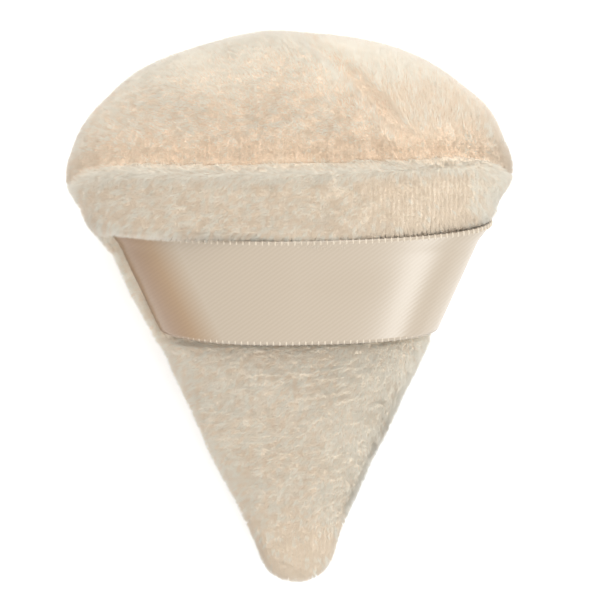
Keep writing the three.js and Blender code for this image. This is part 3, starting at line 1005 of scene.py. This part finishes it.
def bead_faces(start, rings, sides):
    faces = []
    last = start + 1 + rings * sides
    for side in range(sides):
        after = (side + 1) % sides
        faces.append((start, start + 1 + after, start + 1 + side))
        top = start + 1 + (rings - 1) * sides
        faces.append((last, top + side, top + after))
        for ring in range(rings - 1):
            low = start + 1 + ring * sides
            high = low + sides
            faces.append((low + side, low + after, high + after))
            faces.append((low + side, high + after, high + side))
    return faces


# Filling and seams, which the pile covers


def filling():
    """The foam, set in from the panels."""
    angle = round_angles(60)
    rows = []
    for y in np.linspace(TIP_RADIUS + CORE_START, CORNER_LEVEL, 50):
        half, face, back = (float(reach(y)) - CORE_INSET for reach in (side_reach, face_reach, back_reach))
        x = half * power_of(np.cos(angle), BODY_POWER)
        z = np.where(np.sin(angle) > 0, face, back) * power_of(np.sin(angle), BODY_POWER)
        rows.append(np.stack([x, bowed(x, y), z], axis=1))
    for turn in np.linspace(0.05, 0.95, 14) * math.pi / 2:
        rows.append(dome_ring(angle, turn, CORE_INSET))
    return tube("foam_filling", [placed(np.array(rows))], [FOAM])


def tube(name, lengths, materials, scale=MM):
    """Closed tubes, each a stack of rings with its ends drawn to a point."""
    points, faces = [], []
    for rings in lengths:
        start = len(points)
        count, sides = rings.shape[:2]
        points.append(rings[0].mean(axis=0))
        points.extend(rings.reshape(-1, 3))
        points.append(rings[-1].mean(axis=0))
        faces.extend(bead_faces(start, count, sides))
    return new_object(name, np.array(points), np.array(faces), materials, scale)


def stitches(name, path, pitch, lift):
    """Stitches along a path: short lengths of thread that dip into the cloth at both ends."""
    at = distances(path)
    turn = round_angles(8)
    lengths = []
    for begin in np.arange(0, at[-1] - pitch, pitch):
        share = np.linspace(0, 1, 9)
        places = begin + share * pitch * STITCH_SHARE
        line = np.stack([np.interp(places, at, path[:, axis]) for axis in range(3)], axis=1)
        line[:, 2] += lift * np.sin(share * math.pi)
        forward = unit(np.gradient(line, axis=0))
        side = unit(np.cross(forward, [0, 0, 1.0]))
        over = np.cross(side, forward)
        radius = THREAD_RADIUS * np.sqrt(np.sin(0.06 + share * (math.pi - 0.12)))
        ring = side[:, None] * np.cos(turn)[None, :, None] + over[:, None] * np.sin(turn)[None, :, None]
        lengths.append(placed(line[:, None] + ring * radius[:, None, None]))
    return tube(name, lengths, [THREAD])


def side_path():
    """The side seam, from the right corner round the tip to the left corner."""
    y = np.linspace(CORNER_LEVEL - SIDE_SEAM_END, TIP_RADIUS, 80)
    right = np.stack([side_reach(y) - SIDE_SEAM_INSET, y, np.zeros(len(y))], axis=1)
    tip_turn = np.linspace(0, math.pi, 15)[1:-1]
    reach = float(side_reach(TIP_RADIUS)) - SIDE_SEAM_INSET
    tip = np.stack([reach * np.cos(tip_turn), TIP_RADIUS - reach * np.sin(tip_turn), 0 * tip_turn], axis=1)
    left = right[::-1] * [-1, 1, 1]
    return np.concatenate([right, tip, left])


def crown_path(side, start, end):
    """A length of the crown seam, on the face where side is 1 and on the back where it is -1."""
    depth = (RIM_HALF - PANEL_THICKNESS + CROWN_HALF) / 2
    x = np.linspace(start, end, 160)
    z = side * superellipse(x, CROWN_SEAM_HALF, depth, BODY_POWER)
    y = rim_level(x) + SEAM_GAP / 2 - CROWN_SEAM_DROP
    return np.stack([x, y, z - CROWN_SEAM_DEPTH * side], axis=1)


def crown_seam_path():
    """The crown seam, all round apart from the opening on the back that the closing stitches draw shut."""
    closing_end = CLOSING_HALF + CLOSING_GAP
    right = crown_path(-1, closing_end, CROWN_SEAM_HALF)
    face = crown_path(1, CROWN_SEAM_HALF, -CROWN_SEAM_HALF)
    left = crown_path(-1, -CROWN_SEAM_HALF, -closing_end)
    return np.concatenate([right, face[1:-1], left])


# Dressing the frame

front_panel, back_panel, crown_panel = stuffed_panels()
front_skin = skin("front_skin", front_panel, FAN_SKIN)
back_skin = skin("back_skin", back_panel, FAN_SKIN)
crown_skin = skin("crown_skin", crown_panel, CROWN_SKIN)
front_pile = pile("front_pile", front_panel, front_nap, seed=21, density=FACE_DENSITY, uphill=False)
back_pile = pile("back_pile", back_panel, back_nap, seed=22, density=BACK_DENSITY, uphill=False)
crown_pile = pile("crown_pile", crown_panel, crown_nap, seed=23, density=FACE_DENSITY, uphill=True)
ribbon_piece, ribbon_grid = ribbon()
low_edge = ribbon_edge("ribbon_edge_low", ribbon_grid[0], 1.0)
high_edge = ribbon_edge("ribbon_edge_high", ribbon_grid[-1], -1.0)
foam = filling()
side_stitches = stitches("side_stitches", side_path(), SEAM_PITCH, lift=0.15)
crown_stitches = stitches("crown_stitches", crown_seam_path(), SEAM_PITCH, lift=0.1)
closing_path = crown_path(-1, -CLOSING_HALF, CLOSING_HALF)
closing_stitches = stitches("closing_stitches", closing_path, CLOSING_PITCH, lift=-0.1)

for piece, node, slot in (
    (front_skin, "front_panel", "plush"),
    (back_skin, "back_panel", "plush"),
    (crown_skin, "crown_panel", "plush"),
    (foam, "foam_core", "foam"),
    (ribbon_piece, "ribbon_strap", "satin"),
    (side_stitches, "side_seam_thread", "thread"),
    (crown_stitches, "crown_seam_thread", "thread"),
    (closing_stitches, "closing_stitch", "thread"),
):
    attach(piece, "root")
    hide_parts(node)

for piece in front_pile + back_pile + crown_pile:
    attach(piece, "root")
for piece in (low_edge, high_edge):
    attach(piece, "root")


# Studio: a pale floor, soft light and the photograph's camera


def studio_floor():
    bpy.ops.mesh.primitive_plane_add(size=3)
    floor = bpy.context.object
    floor.name = "floor"
    material = new_material("floor", (1, 1, 1), roughness=0.9, Emission_Strength=0.18)[0]
    floor.data.materials.append(material)


def soft_light(name, place, size, power, colour):
    data = bpy.data.lights.new(name, "AREA")
    data.shape = "DISK"
    data.size = size
    data.energy = power
    data.color = colour
    lamp = bpy.data.objects.new(name, data)
    lamp.location = place
    lamp.rotation_euler = (-Vector(place)).to_track_quat("-Z", "Y").to_euler()
    bpy.context.scene.collection.objects.link(lamp)


def studio_camera():
    """Nearly straight down on the puff, through a long lens."""
    lean, yaw, roll = math.radians(5.3), math.radians(-2), math.radians(-1.2)
    aim_right, aim_up, aim_height = 0.9, 1.95, 12
    photo_width, pixels_a_mm = 600, 7.05
    frame_width = photo_width / pixels_a_mm
    back = Vector((math.sin(yaw), math.sin(lean) * math.cos(yaw), math.cos(lean) * math.cos(yaw)))
    right = Vector((0, math.cos(lean), -math.sin(lean))).cross(back).normalized()
    up = back.cross(right)
    turned_right = right * math.cos(roll) + up * math.sin(roll)
    turned_up = up * math.cos(roll) - right * math.sin(roll)
    data = bpy.data.cameras.new("camera")
    data.lens = 200
    data.sensor_width = 36
    distance = frame_width * data.lens / data.sensor_width
    aim = Vector((0, 0, aim_height)) + turned_right * aim_right + turned_up * aim_up
    camera = bpy.data.objects.new("camera", data)
    axes = Matrix((turned_right, turned_up, back)).transposed().to_4x4()
    camera.matrix_world = Matrix.Translation((aim + back * distance) * MM) @ axes
    bpy.context.scene.collection.objects.link(camera)
    bpy.context.scene.camera = camera


def studio_world():
    world = bpy.data.worlds.new("studio")
    world.use_nodes = True
    world.node_tree.nodes["Background"].inputs["Color"].default_value = (1, 1, 1, 1)
    world.node_tree.nodes["Background"].inputs["Strength"].default_value = 1.06
    bpy.context.scene.world = world
    bpy.context.scene.view_settings.view_transform = "Standard"


studio_floor()
studio_world()
soft_light("key", (-0.02, 0.72, 0.52), size=0.7, power=3.2, colour=(1, 0.99, 0.97))
soft_light("side", (0.43, -0.31, 0.5), size=0.28, power=1.45, colour=(0.93, 0.98, 1))
studio_camera()

bpy.context.view_layer.update()
